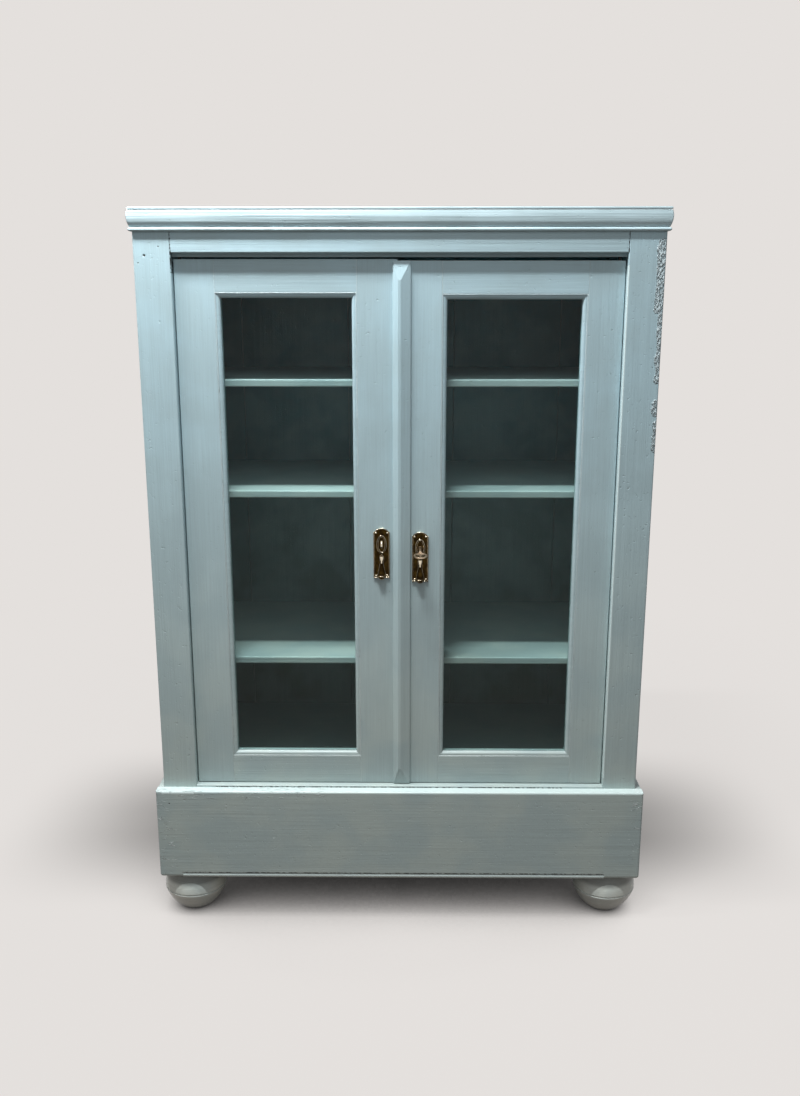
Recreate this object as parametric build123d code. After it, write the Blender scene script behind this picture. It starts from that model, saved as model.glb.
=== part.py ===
from build123d import *
import os
from math import cos, radians, sin

# A floor-standing display cabinet: a painted carcass on a box plinth and four turned
# feet, with two glazed doors, three shelves, a rim lock with its key, and a pair of
# surface bolts. Millimetres, +Z up, the front faces -Y. The origin is on the floor, in the
# middle of the footprint.

# ---------------------------------------------------------------- heights, floor upwards
foot_height = 88.0
plinth_height = 180.0
floor_rise = 4.0          # the cabinet's floor stands this far above the plinth
door_foot_gap = 1.5       # under both doors
door_height = 967.5       # the left door
right_door_drop = 2.5     # the right door's top edge is planed lower
door_head_gap = 3.7       # over the left door
rail_reveal = 6.0         # the upper rail shows this much below the frieze
frieze_height = 35.0      # plain frieze between the doors and the cornice
cornice_height = 35.0
top_edge = 4.0            # edge of the top board that shows above the cornice

# ---------------------------------------------------------------- carcass boards
body_width = 900.0        # over the side boards
body_depth = 425.0        # stile faces to the back
side_board = 18.0
stile_width = 63.0
stile_board = 22.0
frieze_board = 12.0
upper_rail_depth = 40.0
floor_board = 20.0
top_tongue = 8.0          # the top board drops into the carcass by this much
back_board = 10.0
back_rebate = 8.0         # rebate in each side board for the back boards
wide_back_board = 224.0
back_board_gap = 1.2
back_board_lap = 8.0      # half of each board's thickness runs on behind the next board
arris = 2.0               # worn round edge on the painted boards

# ---------------------------------------------------------------- shelves
shelf_board = 13.0
shelf_front_gap = 12.0    # shelf edge behind the doors' backs
shelf_end_gap = 0.5
shelf_heights = {"lower_shelf": 243.0, "middle_shelf": 563.0, "upper_shelf": 764.0}
batten_width = 15.0
batten_height = 16.0
batten_setback = 14.0     # batten end behind the shelf's front edge

# ---------------------------------------------------------------- plinth and feet
plinth_front_board = 20.0
plinth_side_board = 12.0
plinth_back_board = 18.0
plinth_round = 3.5
plinth_worn_corner = 6.0  # round on the front board's two lower corners
plinth_bead = 8.0         # round bead along the front board's lower edge
plinth_quirk = 1.6        # groove that sets the bead off
bead_stop_left = 44.0     # the bead stops this far from each end
bead_stop_right = 67.0
foot_radius = 60.0
foot_sole_radius = 28.0
foot_neck_radius = 48.0
foot_waist = 46.0         # height of the widest line
foot_scribe = 1.8         # depth of the turned line there
foot_inset = 60.0         # foot's axis behind the plinth's front, and in front of the back
foot_side_inset = 56.0    # foot's axis from the plinth's sides: the feet bulge past them
foot_bowl_radius = 48.5   # halfway down, below the widest line
foot_bowl_height = 20.0
spigot_radius = 14.0
spigot_length = 34.0
spigot_gap = 0.3
foot_block_side = 85.0
foot_block_height = 48.0

# ---------------------------------------------------------------- cornice
cornice_reach = 7.0       # how far the torus stands out of the frieze
torus_top_give = 1.4      # how much of that it loses at its top and at its bottom
torus_bottom_give = 4.0
cornice_fillet = 2.0      # how far the flats between its mouldings stand out
bead_height = 6.0
bead_reach = 5.5
bead_to_torus = 1.0
torus_lip = 1.2           # flat above the torus

# ---------------------------------------------------------------- doors
door_board = 22.0
door_recess = 12.0        # door faces behind the stile faces
hinge_gap = 1.5
meeting_gap = 3.0
meeting_line = -1.5       # middle of the gap between the doors
top_rail = 55.0
bottom_rail = 54.0
left_hinge_stile = 68.5
left_closing_stile = 70.0
right_hinge_stile = 61.0
right_closing_stile = 74.0
tenon_length = 40.0
tenon_thickness = 8.0
tenon_shoulder = 8.0
mortise_relief = 1.0
door_arris = 1.5

bead_width = 9.0
bead_depth = 8.0
bead_lip = 1.6            # flat next to the frame, before the step
bead_step = 1.2
bead_nose = 2.2           # thickness left where the bead meets the glass
glass_thickness = 3.0
glass_edge_gap = 0.5

# ---------------------------------------------------------------- meeting strip
strip_width = 31.0
strip_lap = 11.0          # how much of it covers the left door
strip_reach = 9.5
strip_edge = 4.0          # thickness at its two long edges
strip_flat = 5.0          # flat along its ridge
strip_ridge = 11.5        # ridge's middle from its left edge
strip_hip = 32.0          # length of the sloping cut at each end
strip_clearance = 0.4     # between the strip and the left door's face

# ---------------------------------------------------------------- pivot hinges
pivot_from_edge = 10.0
pivot_from_face = 5.0
pivot_radius = 3.0
pivot_clearance = 0.05
pivot_plate_width = 11.0
pivot_plate_length = 42.0
pivot_plate = 3.0
pivot_plate_front = 0.8   # wood left in front of the plate
pivot_depth = 2.5         # pin beyond the socket plate
pivot_shoulder_radius = 4.5
pivot_shoulder_gap = 0.2
pivot_relief = 1.0

# ---------------------------------------------------------------- key plates
plate_width = 29.5
plate_height = 85.5       # between the shoulders and the foot of the plate
plate_arch = 7.0
plate_arch_width = 27.0
plate_tongue = 3.5
plate_tongue_radius = 6.0
plate_thickness = 1.8
plate_rim = 1.5
plate_rim_height = 0.9
plate_above_keyhole = 23.0   # shoulders above the keyhole
oval_width = 17.5
oval_height = 33.0
oval_ring = 2.6
oval_ring_height = 1.5
keyhole_radius = 3.4
keyhole_slot_width = 3.8
keyhole_slot_length = 13.0
hood_below_keyhole = 20.0    # top of the finger pull below the keyhole
blind_boss_width = 4.4       # domed boss in place of a keyhole on the left plate
blind_boss_height = 11.5
blind_boss_drop = 1.6        # its middle below the oval's
hood_length = 40.0
hood_radius = 7.8
hood_wall = 1.2
hood_lip = 1.0
plate_pin_inset = 4.5
plate_pin_head_drop = 1.2    # upper pins below the shoulders, under the arch
plate_pin_radius = 0.9
plate_pin_head_radius = 1.7
plate_pin_length = 9.0
left_keyhole_height = 743.0
right_keyhole_height = 736.0
left_backset = 29.0       # keyhole from the door's meeting edge
right_backset = 38.0

# ---------------------------------------------------------------- lock and key
lock_edge_gap = 2.0       # case behind the door's meeting edge
lock_width = 62.0
lock_depth = 16.0
lock_wall = 1.5
lock_below = 22.0         # case below and above the keyhole
lock_above = 38.0
bolt_height = 12.0
bolt_thickness = 8.0
bolt_length = 46.0
bolt_above_keyhole = 15.5
bolt_standoff = 3.5       # bolt behind the door's back
bolt_gap = 0.15
bolt_tip_inset = 1.0
stump_radius = 2.0
stump_slot_length = 21.0
keep_width = 20.0
keep_depth = 16.0
keep_wall = 2.0
keep_clearance = 0.8
keyway_clearance = 2.0    # hole in the door stile round the keyhole

key_droop = 7.0           # the key hangs a little in its worn hole, degrees
key_reach = 52.0          # bow's end from the door face
key_radius = 2.3
key_clearance = 0.06
key_bow_width = 23.5
key_bow_length = 25.0
key_bow_rim = 2.6
key_bow_bar = 2.8
key_bow_thickness = 2.2
key_collar_radius = 3.4
key_collar_length = 2.2
key_collar_gap = 2.6
key_bit_reach = 11.2
key_bit_length = 8.0
key_bit_thickness = 2.6
key_bit_from_case = 3.0

# ---------------------------------------------------------------- surface bolts, left door
slide_from_meeting = 34.0
slide_plate_width = 28.0
slide_plate_height = 96.0
slide_plate = 2.0
slide_plate_margin = 10.0     # plate from the door's end
slide_bar_width = 10.0
slide_bar_thickness = 5.0
slide_bar_length = 100.0
slide_bar_inset = 1.0         # bar's tip inside the door's end
slide_gap = 0.2
slide_loop_height = 9.0
slide_loop_wall = 2.5
slide_knob_radius = 4.5
slide_knob_length = 12.0
slide_mortise_clearance = 1.5
slide_mortise_depth = 14.0

# ---------------------------------------------------------------- planes worked out from them
plinth_bottom = foot_height
plinth_top = plinth_bottom + plinth_height
floor_top = plinth_top + floor_rise
floor_bottom = floor_top - floor_board
door_bottom = floor_top + door_foot_gap
rail_bottom = door_bottom + door_height + door_head_gap
frieze_bottom = rail_bottom + rail_reveal
cornice_bottom = frieze_bottom + frieze_height
carcass_top = cornice_bottom + cornice_height
overall_height = carcass_top + top_edge

half_body = body_width / 2
half_inside = half_body - side_board
opening_half = half_body - stile_width
half_plinth = half_body + plinth_side_board

key_front = key_reach * cos(radians(key_droop)) - door_recess
front_reach = max(plinth_front_board, cornice_reach, key_front)
face = (front_reach - body_depth) / 2
back = face + body_depth
plinth_face = face - plinth_front_board
back_inside = back - back_board
stile_back = face + stile_board
door_face = face + door_recess
door_back = door_face + door_board
shelf_front = door_back + shelf_front_gap


def block(x0, x1, y0, y1, z0, z1):
    """A plain board between two opposite corners."""
    centre = ((x0 + x1) / 2, (y0 + y1) / 2, (z0 + z1) / 2)
    return Pos(*centre) * Box(abs(x1 - x0), abs(y1 - y0), abs(z1 - z0))


def front_edges(board):
    """The edges of a board that lie in its foremost plane."""
    return board.faces().sort_by(Axis.Y)[0].edges()


def cylinder_between(start, end, radius):
    """A round bar from one point to another."""
    run = Vector(*end) - Vector(*start)
    return Plane(origin=start, z_dir=run) * Pos(0, 0, run.length / 2) * Cylinder(radius, run.length)


def mitred_strip(section, length, width, thickness, start, end):
    """A moulding along X with its back edge on y = 0, from x = 0 to length.

    section lies in the YZ plane. start and end say how far each end runs on for every
    millimetre of width: 1 at an outside mitre, -1 at an inside mitre, 0 for a square end.
    """
    reach = width + thickness
    bar = extrude(section, 2 * reach + length, dir=(1, 0, 0))
    bar = Pos(-reach, 0, 0) * bar
    plan = make_face(Polyline(
        (0, 0), (length, 0), (length + end * width, width), (-start * width, width), close=True))
    return bar & extrude(plan, thickness)


def mitred_frame(section, x0, x1, z0, z1, y_front, width, depth):
    """Four strips mitred round a window, seen from the front, with the section's z forwards."""
    corners = [(x0, z0, (1, 0, 0), x1 - x0), (x1, z0, (0, 0, 1), z1 - z0)]
    corners += [(x1, z1, (-1, 0, 0), x1 - x0), (x0, z1, (0, 0, -1), z1 - z0)]
    strips = []
    for x, z, along, length in corners:
        strip = mitred_strip(section, length, width, depth, -1, -1)
        place = Plane(origin=(x, y_front + depth, z), x_dir=along, z_dir=(0, -1, 0))
        strips.append(place * strip)
    return strips


# ================================================================ carcass
def side_board_solid(side):
    """A side board: it stands behind its stile and is rebated for the back boards."""
    board = block(side * half_inside, side * half_body, stile_back, back, plinth_bottom, carcass_top)
    rebate = block(side * (half_inside - 1), side * (half_inside + back_rebate),
                   back_inside, back + 1, floor_bottom, carcass_top + 1)
    return board - rebate


def front_stile_solid(side):
    """A front stile, with both of its long front arrises worn round."""
    board = block(side * opening_half, side * half_body, face, stile_back, plinth_bottom, carcass_top)
    return fillet(front_edges(board).filter_by(Axis.Z), arris)


def frieze_solid():
    board = block(-opening_half, opening_half, face, face + frieze_board, frieze_bottom, carcass_top)
    return fillet(front_edges(board).sort_by(Axis.Z)[0], arris)


def upper_rail_solid():
    """The rail over the doors: notched round the stiles, it carries the upper pivots."""
    front = face + frieze_board
    rear = front + upper_rail_depth
    top = carcass_top - top_tongue
    rail = block(-opening_half, opening_half, front, stile_back, rail_bottom, top)
    rail += block(-half_inside, half_inside, stile_back, rear, rail_bottom, top)
    rail -= slide_mortise("upper")
    for door in doors:
        rail -= door.socket_cut("upper")
    return rail


def floor_solid():
    """The cabinet's floor: notched round the stiles, its nosed front edge forms the ledge."""
    board = block(-opening_half, opening_half, face, stile_back, floor_bottom, floor_top)
    board = fillet(front_edges(board).sort_by(Axis.Z)[-1], arris)
    board += block(-half_inside, half_inside, stile_back, back_inside, floor_bottom, floor_top)
    board -= slide_mortise("lower")
    for door in doors:
        board -= door.socket_cut("lower")
    return board


def top_board_solid():
    """The top board, flush with the torus's head; its tongue drops into the carcass."""
    overhang = cornice_reach - torus_top_give
    reach = half_body + overhang
    board = block(-reach, reach, face - overhang, back, carcass_top, overall_height)
    round_edges = board.edges().group_by(Axis.Z)[-1].sort_by(Axis.Y)[:-1]
    board = fillet(round_edges, min(arris, top_edge / 3))
    return board + block(-half_inside, half_inside, stile_back, back_inside,
                         carcass_top - top_tongue, carcass_top)


def back_board_solids():
    """Upright back boards, half-lapped: three wide ones, with a narrow one at each side."""
    edge = half_inside + back_rebate
    joints = [n * wide_back_board for n in (-1.5, -0.5, 0.5, 1.5)]
    lefts = [-edge] + [x + back_board_gap / 2 for x in joints]
    rights = [x - back_board_gap / 2 for x in joints] + [edge]
    left_laps = [0] + [back_board_lap] * len(joints)
    right_laps = [back_board_lap] * len(joints) + [0]
    middle = back_inside + back_board / 2
    boards = []
    for x0, x1, lap0, lap1 in zip(lefts, rights, left_laps, right_laps):
        front_half = block(x0, x1, back_inside, middle, floor_bottom, carcass_top)
        rear_half = block(x0 + lap0, x1 + lap1, middle, back, floor_bottom, carcass_top)
        boards.append(front_half + rear_half)
    return boards


def shelf_solid(height):
    half = half_inside - shelf_end_gap
    top = floor_top + height
    board = block(-half, half, shelf_front, back_inside, top - shelf_board, top)
    return fillet(front_edges(board).filter_by(Axis.X), min(arris, shelf_board / 4))


def batten_solids(side):
    """The three battens on one side board, one under each shelf."""
    battens = []
    for height in shelf_heights.values():
        top = floor_top + height - shelf_board
        batten = block(side * (half_inside - batten_width), side * half_inside,
                       shelf_front + batten_setback, back_inside, top - batten_height, top)
        battens.append(batten)
    return battens


# ================================================================ cornice, plinth, feet
def cornice_section():
    """Bead, flat, torus and lip, from the bottom up; y is how far it stands out."""
    torus_bottom = bead_height + bead_to_torus
    torus_top = cornice_height - torus_lip
    torus_widest = torus_bottom + 0.62 * (torus_top - torus_bottom)
    torus_foot = cornice_reach - torus_bottom_give
    torus_head = cornice_reach - torus_top_give
    bead_root = cornice_fillet + (bead_reach - cornice_fillet) / 3
    outline = Polyline((0, cornice_height), (0, 0), (bead_root, 0))
    outline += ThreePointArc((bead_root, 0), (bead_reach, bead_height / 2), (bead_root, bead_height))
    outline += Polyline((bead_root, bead_height), (cornice_fillet, bead_height),
                        (cornice_fillet, torus_bottom), (torus_foot, torus_bottom))
    outline += ThreePointArc((torus_foot, torus_bottom), (cornice_reach, torus_widest),
                             (torus_head, torus_top))
    outline += Polyline((torus_head, torus_top), (cornice_fillet, torus_top),
                        (cornice_fillet, cornice_height), (0, cornice_height))
    return Plane.YZ * make_face(outline)


def cornice_run(corner, along, length, start, end):
    strip = mitred_strip(cornice_section(), length, cornice_reach, cornice_height, start, end)
    return Plane(origin=(*corner, cornice_bottom), x_dir=along, z_dir=(0, 0, 1)) * strip


def plinth_front_solid():
    """The plinth's front board: round top arris, worn lower corners and a stopped bead."""
    board = block(-half_plinth, half_plinth, plinth_face, face, plinth_bottom, plinth_top)
    front = front_edges(board)
    board = fillet(front.sort_by(Axis.Z)[-1:] + front.filter_by(Axis.Z), plinth_round)
    corners = board.edges().filter_by(Axis.Y).group_by(Axis.Z)[0]
    board = fillet(corners, plinth_worn_corner)
    x0 = -half_plinth + bead_stop_left
    x1 = half_plinth - bead_stop_right
    sunk = plinth_face + plinth_quirk
    board -= block(x0, x1, plinth_face - 1, sunk, plinth_bottom - 1, plinth_bottom + plinth_bead + plinth_quirk)
    return board + plinth_bead_solid(x0, x1, sunk)


def plinth_bead_solid(x0, x1, sunk):
    """The bead: a shallow round that comes out of the sunk strip to the board's face."""
    half = plinth_bead / 2
    radius = (half ** 2 + plinth_quirk ** 2) / (2 * plinth_quirk)
    middle = plinth_bottom + half
    bar = cylinder_between((x0, plinth_face + radius, middle), (x1, plinth_face + radius, middle), radius)
    return bar & block(x0, x1, plinth_face - 1, sunk + 1, plinth_bottom, plinth_bottom + plinth_bead)


def plinth_side_solid(side):
    """A plinth side, rounded along its upper arris and worn along its lower one."""
    board = block(side * half_body, side * half_plinth, face, back, plinth_bottom, plinth_top)
    outer = board.faces().sort_by(Axis.X)[-1 if side > 0 else 0]
    lower, upper = outer.edges().filter_by(Axis.Y).sort_by(Axis.Z)
    board = fillet(upper, plinth_round)
    outer = board.faces().sort_by(Axis.X)[-1 if side > 0 else 0]
    return fillet(outer.edges().filter_by(Axis.Y).sort_by(Axis.Z)[0], plinth_worn_corner)


def foot_centres():
    """Name, x and y of each foot."""
    for row, y in (("front", plinth_face + foot_inset), ("back", back - foot_inset)):
        for hand, side in (("left", -1), ("right", 1)):
            yield f"{row}_{hand}_foot", side * (half_plinth - foot_side_inset), y


def foot_block_solids():
    """Corner blocks inside the plinth, bored for the feet's spigots."""
    blocks = []
    for name, x, y in foot_centres():
        side = 1 if x > 0 else -1
        inner = side * (half_inside - foot_block_side)
        if name.startswith("front"):
            y0, y1 = stile_back, stile_back + foot_block_side
        else:
            y0, y1 = back - plinth_back_board - foot_block_side, back - plinth_back_board
        wood = block(inner, side * half_inside, y0, y1, plinth_bottom, plinth_bottom + foot_block_height)
        bore = cylinder_between((x, y, plinth_bottom - 1), (x, y, plinth_bottom + spigot_length + 1),
                                spigot_radius + spigot_gap)
        blocks.append(wood - bore)
    return blocks


def foot_solid(x, y):
    """A turned bun foot with a line scribed round its waist and a spigot on top."""
    waist_low = foot_waist - foot_scribe
    waist_high = foot_waist + foot_scribe
    top = foot_height + spigot_length
    outline = Polyline((foot_radius, waist_low), (foot_radius - foot_scribe, foot_waist),
                       (foot_radius, waist_high))
    outline += TangentArc((foot_radius, waist_high), (foot_neck_radius, foot_height), tangent=(0, 1))
    outline += Polyline((foot_neck_radius, foot_height), (spigot_radius, foot_height),
                        (spigot_radius, top), (0, top), (0, 0), (foot_sole_radius, 0))
    outline += ThreePointArc((foot_radius, waist_low), (foot_bowl_radius, foot_bowl_height),
                             (foot_sole_radius, 0))
    turned = revolve(Plane.XZ * make_face(outline), Axis.Z)
    return Pos(x, y, 0) * turned


# ================================================================ doors
class Door:
    """One glazed door: where its edges, its pivot and its keyhole are."""

    def __init__(self, name, side, drop, hinge_stile, closing_stile, keyhole_height, backset):
        self.name = name
        self.side = side                   # 1 on the right of the cabinet, -1 on the left
        self.hinge_edge = side * (opening_half - hinge_gap)
        self.meeting_edge = meeting_line + side * meeting_gap / 2
        self.hinge_sight = self.hinge_edge - side * hinge_stile
        self.meeting_sight = self.meeting_edge + side * closing_stile
        self.bottom = door_bottom
        self.top = door_bottom + door_height - drop
        self.window_bottom = self.bottom + bottom_rail
        self.window_top = self.top - top_rail
        self.pivot = (self.hinge_edge - side * pivot_from_edge, door_face + pivot_from_face)
        self.keyhole_x = self.meeting_edge + side * backset
        self.keyhole_z = keyhole_height

    def window(self):
        """The frame's opening, as low x, high x, low z, high z."""
        x0, x1 = sorted((self.hinge_sight, self.meeting_sight))
        return x0, x1, self.window_bottom, self.window_top

    def rail(self, z0, z1):
        """A rail with a tenon at each end."""
        x0, x1, _, _ = self.window()
        wood = block(x0, x1, door_face, door_back, z0, z1)
        return wood + self.tenon(z0, z1, tenon_length)

    def tenon(self, z0, z1, length):
        """Both tenons of a rail as one bar; mortises are cut with a longer one."""
        x0, x1, _, _ = self.window()
        y0 = door_face + (door_board - tenon_thickness) / 2
        return block(x0 - length, x1 + length, y0, y0 + tenon_thickness,
                     z0 + tenon_shoulder, z1 - tenon_shoulder)

    def mortises(self):
        reach = tenon_length + mortise_relief
        low = self.tenon(self.bottom, self.window_bottom, reach)
        return low + self.tenon(self.window_top, self.top, reach)

    def stile(self, outer, inner):
        """An upright of the frame, eased along its outer front arris and mortised."""
        wood = block(outer, inner, door_face, door_back, self.bottom, self.top)
        uprights = front_edges(wood).filter_by(Axis.Z).sort_by(Axis.X)
        wood = fillet(uprights[0] if outer < inner else uprights[-1], door_arris)
        return wood - self.mortises()

    def hinge_stile(self):
        wood = self.stile(self.hinge_edge, self.hinge_sight)
        return wood - self.pivot_plate("upper") - self.pivot_plate("lower")

    def closing_stile(self):
        wood = self.stile(self.meeting_edge, self.meeting_sight)
        if self.name == "right":
            wood -= keyhole_prism(self, keyway_clearance, door_face - 1, door_back + 1)
        for x, z in plate_pin_places(self):
            wood -= cylinder_between((x, door_face - 1, z), (x, door_face + plate_pin_length, z),
                                     plate_pin_radius)
        return wood

    def glass(self):
        x0, x1, z0, z1 = self.window()
        y0 = door_face + bead_depth
        gap = glass_edge_gap
        return block(x0 + gap, x1 - gap, y0, y0 + glass_thickness, z0 + gap, z1 - gap)

    def plate_box(self, y_back, z0, z1):
        """The space of a pivot plate, from the hinge edge inwards."""
        x_end = self.hinge_edge - self.side * pivot_plate_length
        y0 = door_face + pivot_plate_front
        return block(self.hinge_edge, x_end, y0, y0 + y_back, z0, z1)

    def pivot_plate(self, end):
        if end == "upper":
            return self.plate_box(pivot_plate_width, self.top - pivot_plate, self.top)
        return self.plate_box(pivot_plate_width, self.bottom, self.bottom + pivot_plate)

    def pivots(self):
        """Plates let into the door's ends, each with the pin that the door turns on."""
        x, y = self.pivot
        upper_end = rail_bottom + pivot_plate + pivot_depth
        upper = self.pivot_plate("upper")
        upper += cylinder_between((x, y, self.top - pivot_plate), (x, y, upper_end), pivot_radius)
        lower_end = floor_top - pivot_plate - pivot_depth
        lower = self.pivot_plate("lower")
        lower += cylinder_between((x, y, lower_end), (x, y, self.bottom + pivot_plate), pivot_radius)
        lower += cylinder_between((x, y, floor_top + pivot_shoulder_gap), (x, y, self.bottom),
                                  pivot_shoulder_radius)
        return [upper, lower]

    def socket_space(self, end):
        """The recess for a socket plate in the rail's underside or the floor's top."""
        x_end = self.hinge_edge - self.side * pivot_plate_length
        y0 = door_face + pivot_plate_front
        z0 = rail_bottom if end == "upper" else floor_top - pivot_plate
        return block(self.hinge_edge, x_end, y0, y0 + pivot_plate_width, z0, z0 + pivot_plate)

    def socket(self, end):
        x, y = self.pivot
        z0 = rail_bottom if end == "upper" else floor_top - pivot_plate
        bore = cylinder_between((x, y, z0 - 1), (x, y, z0 + pivot_plate + 1), pivot_radius + pivot_clearance)
        return self.socket_space(end) - bore

    def socket_cut(self, end):
        """The recess and the blind hole behind it for the end of the pin."""
        x, y = self.pivot
        depth = pivot_plate + pivot_depth + pivot_relief
        z0, z1 = (rail_bottom, rail_bottom + depth) if end == "upper" else (floor_top - depth, floor_top)
        return self.socket_space(end) + cylinder_between((x, y, z0), (x, y, z1), pivot_radius + pivot_relief)


doors = [
    Door("left", -1, 0.0, left_hinge_stile, left_closing_stile, left_keyhole_height, left_backset),
    Door("right", 1, right_door_drop, right_hinge_stile, right_closing_stile,
         right_keyhole_height, right_backset),
]
left_door, right_door = doors


def glazing_bead_section():
    """The moulding in front of the glass: a lip, a step down and an ovolo to a thin nose."""
    step_z = bead_depth - bead_step
    belly = (bead_lip + 0.72 * (bead_width - bead_lip), bead_nose + 0.74 * (step_z - bead_nose))
    outline = Polyline((bead_width, bead_nose), (bead_width, 0), (0, 0), (0, bead_depth),
                       (bead_lip, bead_depth), (bead_lip, step_z))
    outline += ThreePointArc((bead_lip, step_z), belly, (bead_width, bead_nose))
    return Plane.YZ * make_face(outline)


def back_bead_section():
    """The plain bead behind the glass, chamfered towards the pane."""
    depth = door_board - bead_depth - glass_thickness
    chamfer_size = bead_width / 2
    outline = Polyline((0, 0), (bead_width - chamfer_size, 0), (bead_width, chamfer_size),
                       (bead_width, depth), (0, depth), close=True)
    return Plane.YZ * make_face(outline)


def glazing_beads(door):
    return mitred_frame(glazing_bead_section(), *door.window(), door_face, bead_width, bead_depth)


def back_beads(door):
    depth = door_board - bead_depth - glass_thickness
    front = door_face + bead_depth + glass_thickness
    return mitred_frame(back_bead_section(), *door.window(), front, bead_width, depth)


def meeting_strip_solid():
    """The chamfered strip on the right door that covers the joint between the doors."""
    left = right_door.meeting_edge - strip_lap
    ridge0 = strip_ridge - strip_flat / 2
    ridge1 = strip_ridge + strip_flat / 2
    outline = Polyline((0, 0), (strip_width, 0), (strip_width, -strip_edge), (ridge1, -strip_reach),
                       (ridge0, -strip_reach), (0, -strip_edge), close=True)
    bar = extrude(make_face(outline), right_door.top - right_door.bottom)
    bar = Pos(left, door_face, right_door.bottom) * bar
    relief = block(left - 1, right_door.meeting_edge, door_face - strip_clearance, door_face + 1,
                   right_door.bottom - 1, right_door.top + 1)
    return bar - relief - hip_cut(right_door.top, -1) - hip_cut(right_door.bottom, 1)


def hip_cut(end, inwards):
    """The wedge that slopes an end of the strip from its ridge to its edge thickness."""
    y_ridge = door_face - strip_reach
    y_edge = door_face - strip_edge
    wedge = Polyline((y_edge, end), (y_ridge - 1, end), (y_ridge - 1, end + inwards * strip_hip),
                     (y_ridge, end + inwards * strip_hip), close=True)
    left = right_door.meeting_edge - strip_lap
    return Pos(left - 1, 0, 0) * extrude(Plane.YZ * make_face(wedge), strip_width + 2, dir=(1, 0, 0))


# ================================================================ key plates
def upright_plane(door, y):
    """A plane that faces the room, with its origin on the door's keyhole."""
    return Plane(origin=(door.keyhole_x, y, door.keyhole_z), x_dir=(1, 0, 0), z_dir=(0, -1, 0))


def keyhole_face(extra):
    slot_half = keyhole_slot_width / 2 + extra
    slot_foot = -keyhole_slot_length - extra
    slot = make_face(Polyline((-slot_half, 0), (-slot_half, slot_foot), (slot_half, slot_foot),
                              (slot_half, 0), close=True))
    return Circle(keyhole_radius + extra) + slot


def keyhole_prism(door, extra, y0, y1):
    return extrude(upright_plane(door, y1) * keyhole_face(extra), y1 - y0, dir=(0, -1, 0))


def plate_outline(inset):
    """The plate's outline round the keyhole, drawn in by inset: arched head, small tongue."""
    half = plate_width / 2 - inset
    head = plate_above_keyhole - inset
    foot = plate_above_keyhole - plate_height + inset
    arch_half = plate_arch_width / 2 - inset / 2
    tongue = plate_tongue_radius - inset / 2
    outline = Polyline((-arch_half, head), (-half, head), (-half, foot), (-tongue, foot))
    outline += ThreePointArc((-tongue, foot), (0, foot - plate_tongue), (tongue, foot))
    outline += Polyline((tongue, foot), (half, foot), (half, head), (arch_half, head))
    outline += ThreePointArc((arch_half, head), (0, head + plate_arch), (-arch_half, head))
    return make_face(outline)


def plate_pin_places(door):
    """Centres of the four pins, one in each corner of the plate."""
    half = plate_width / 2 - plate_pin_inset
    head = plate_above_keyhole - plate_pin_head_drop
    foot = plate_above_keyhole - plate_height + plate_pin_inset
    return [(door.keyhole_x + x, door.keyhole_z + z) for x in (-half, half) for z in (head, foot)]


def hood_profile(inset):
    """Half the bell of the finger pull: x is its radius, y its height below the crown."""
    crown = -inset
    foot = -hood_length
    outer = hood_radius - inset
    outline = Polyline((0, foot), (0, crown))
    outline += Spline((0, crown), (0.42 * outer, 0.30 * foot), (0.70 * outer, 0.70 * foot), (outer, foot),
                      tangents=((1, 0), (0.25, -1)))
    outline += Polyline((outer, foot), (0, foot))
    return make_face(outline)


def hood_bell(door, inset, drop):
    """The finger pull's bell, turned about an upright line in the plate's face."""
    bell = revolve(Plane.XZ * hood_profile(inset), Axis.Z)
    y = door_face - plate_thickness
    return Pos(door.keyhole_x, y, door.keyhole_z - hood_below_keyhole - drop) * bell


def key_plate_solid(door):
    """A pressed brass plate: raised rim, oval round the keyhole, hooded finger pull."""
    base = upright_plane(door, door_face)
    plate = extrude(base * plate_outline(0), plate_thickness, dir=(0, -1, 0))
    raised = base * (plate_outline(0) - plate_outline(plate_rim))
    plate += extrude(raised, plate_thickness + plate_rim_height, dir=(0, -1, 0))
    oval = Ellipse(oval_width / 2, oval_height / 2)
    oval -= Ellipse(oval_width / 2 - oval_ring, oval_height / 2 - oval_ring)
    plate += extrude(base * oval, plate_thickness + oval_ring_height, dir=(0, -1, 0))
    plate += hood_front(door, hood_bell(door, 0, 0) + hood_lip_ring(door))
    plate -= hood_front(door, hood_bell(door, hood_wall, 0) + hood_mouth(door))
    if door is right_door:
        plate -= keyhole_prism(door, 0, door_face - plate_thickness - 1, door_face + 1)
    else:
        plate += blind_boss(door)
    for x, z in plate_pin_places(door):
        plate -= cylinder_between((x, door_face + 1, z), (x, door_face - plate_thickness - 1, z),
                                  plate_pin_radius)
    return plate


def blind_boss(door):
    """The upright domed boss that the plate of the door without a lock has."""
    radius = blind_boss_width / 2
    seat = door_face - plate_thickness
    x, z = door.keyhole_x, door.keyhole_z - blind_boss_drop
    half = blind_boss_height / 2 - radius
    dome = Pos(x, seat, z + half) * Sphere(radius) + Pos(x, seat, z - half) * Sphere(radius)
    dome += cylinder_between((x, seat, z - half), (x, seat, z + half), radius)
    return dome & block(x - radius, x + radius, seat - radius, seat, z - 2 * half, z + 2 * half)


def hood_front(door, bell):
    """The half of a turned bell that stands in front of the plate's face."""
    y = door_face - plate_thickness
    reach = 2 * hood_radius
    x, z = door.keyhole_x, door.keyhole_z
    return bell & block(x - reach, x + reach, y - reach, y, z - 3 * hood_length, z)


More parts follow.
